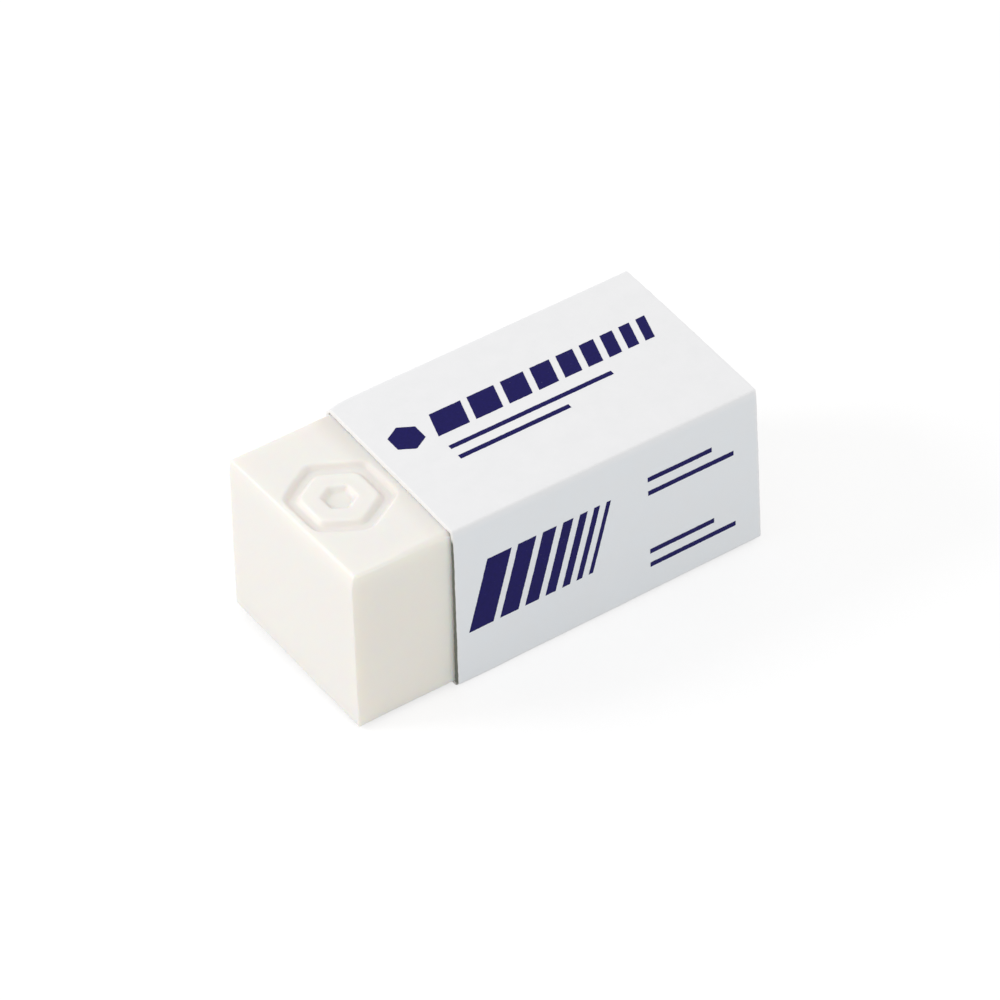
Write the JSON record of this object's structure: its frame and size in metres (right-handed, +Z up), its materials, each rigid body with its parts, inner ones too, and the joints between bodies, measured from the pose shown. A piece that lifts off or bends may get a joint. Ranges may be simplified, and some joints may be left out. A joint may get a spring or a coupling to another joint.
{
  "type": "eraser",
  "caption": "White block eraser with a hexagon pressed into its broad face, in a folded and glued white card sleeve with a navy print; the block slides out of the sleeve.",
  "frame": {"origin": "bottom centre of the whole, on the desk under the sleeve", "axes": "+X along the block from its bare end to the end inside the sleeve, +Y from the front panel to the rear panel, +Z up"},
  "size_m": [0.0332, 0.016, 0.0136],
  "materials": {
    "vinyl": "matte",
    "card": "satin",
    "ink": "satin"
  },
  "bodies": {
    "sleeve": {"card_sleeve": "card", "sleeve_print": "ink"},
    "block": {"eraser_block": "vinyl"}
  },
  "joints": [
    {"name": "block_slide", "type": "slide", "parent": "sleeve", "child": "block", "axis": [-1, 0, 0], "range_m": [-0.0078, 0.026]}
  ]
}
